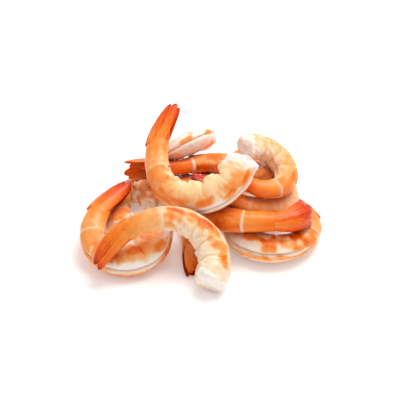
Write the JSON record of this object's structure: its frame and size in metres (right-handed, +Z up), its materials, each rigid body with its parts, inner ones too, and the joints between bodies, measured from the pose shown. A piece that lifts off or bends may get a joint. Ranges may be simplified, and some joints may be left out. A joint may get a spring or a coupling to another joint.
{
  "type": "heap of cooked shrimp",
  "caption": "Loose heap of cooked, peeled shrimp, curled, banded orange and white, with the red tail shells left on, lying on a flat surface.",
  "frame": {"origin": "centre of the heap's outline on the flat surface that it lies on", "axes": "+Z up from the surface, -Y towards the heap's front, where one shrimp's cut end touches down, +X to the heap's right seen from the front"},
  "size_m": [0.132, 0.1364, 0.0571],
  "materials": {
    "meat": "cooked flesh, moist and slightly translucent: cream white with salmon-orange bands, and paler at the belly, the seams and the cut end",
    "tail_shell": "thin glossy cooked shell, orange on the last segment and deep orange-red on the fan, darkest at the tips"
  },
  "bodies": {
    "root": {"shrimp_left_ring_meat": "meat", "shrimp_left_ring_tail": "tail_shell", "shrimp_right_ring_meat": "meat", "shrimp_right_ring_tail": "tail_shell", "shrimp_left_back_meat": "meat", "shrimp_left_back_tail": "tail_shell", "shrimp_right_back_meat": "meat", "shrimp_right_back_tail": "tail_shell", "shrimp_left_middle_meat": "meat", "shrimp_left_middle_tail": "tail_shell", "shrimp_right_middle_meat": "meat", "shrimp_right_middle_tail": "tail_shell", "shrimp_right_low_meat": "meat", "shrimp_right_low_tail": "tail_shell", "shrimp_back_low_meat": "meat", "shrimp_back_low_tail": "tail_shell", "shrimp_front_arch_meat": "meat", "shrimp_front_arch_tail": "tail_shell", "shrimp_top_front_meat": "meat", "shrimp_top_front_tail": "tail_shell", "shrimp_top_right_meat": "meat", "shrimp_top_right_tail": "tail_shell", "shrimp_back_top_meat": "meat", "shrimp_back_top_tail": "tail_shell"}
  },
  "joints": []
}
